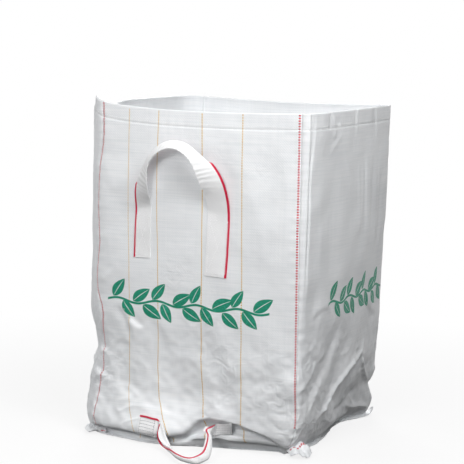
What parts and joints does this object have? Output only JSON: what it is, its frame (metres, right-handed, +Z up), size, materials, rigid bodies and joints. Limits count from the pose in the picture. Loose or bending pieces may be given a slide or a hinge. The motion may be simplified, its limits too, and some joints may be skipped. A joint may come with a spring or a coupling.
{
  "type": "garden waste bag",
  "caption": "Open, square, self-standing garden waste bag of woven polypropylene with a hemmed rim, sewn webbing carry handles front and back and a tipping handle low on the front.",
  "frame": {"origin": "middle of the underside of the base, where the bag stands on the floor", "axes": "+Z up towards the open rim, -Y towards the face that carries the tipping handle, +X to the right of that face"},
  "size_m": [0.5368, 0.7301, 0.7256],
  "materials": {
    "woven_polypropylene": "white woven tape cloth with a thin coating, slightly glossy",
    "polypropylene_webbing": "white woven webbing, matt"
  },
  "bodies": {
    "bag": {"front_panel": "woven_polypropylene", "right_side_panel": "woven_polypropylene", "back_panel": "woven_polypropylene", "left_side_panel": "woven_polypropylene", "base_panel": "woven_polypropylene", "front_hem": "woven_polypropylene", "right_hem": "woven_polypropylene", "back_hem": "woven_polypropylene", "left_hem": "woven_polypropylene", "front_left_seam": "woven_polypropylene", "front_right_seam": "woven_polypropylene", "back_right_seam": "woven_polypropylene", "back_left_seam": "woven_polypropylene", "right_base_seam": "woven_polypropylene", "left_base_seam": "woven_polypropylene", "front_handle_left_end": "polypropylene_webbing", "front_handle_right_end": "polypropylene_webbing", "back_handle_left_end": "polypropylene_webbing", "back_handle_right_end": "polypropylene_webbing", "tipping_handle_left_end": "polypropylene_webbing", "tipping_handle_right_end": "polypropylene_webbing"},
    "front_handle": {"front_handle_loop": "polypropylene_webbing"},
    "back_handle": {"back_handle_loop": "polypropylene_webbing"},
    "tipping_handle": {"tipping_handle_loop": "polypropylene_webbing"}
  },
  "joints": [
    {"name": "front_handle_swing", "type": "hinge", "parent": "bag", "child": "front_handle", "pos_m": [0, -0.26602, 0.488], "axis": [1, 0, 0], "range_deg": [0, 150]},
    {"name": "back_handle_swing", "type": "hinge", "parent": "bag", "child": "back_handle", "pos_m": [0, 0.27557, 0.488], "axis": [-1, 0, 0], "range_deg": [0, 150]},
    {"name": "tipping_handle_swing", "type": "hinge", "parent": "bag", "child": "tipping_handle", "pos_m": [0, -0.30099, 0.03], "axis": [-1, 0, 0], "range_deg": [-40, 90]}
  ]
}
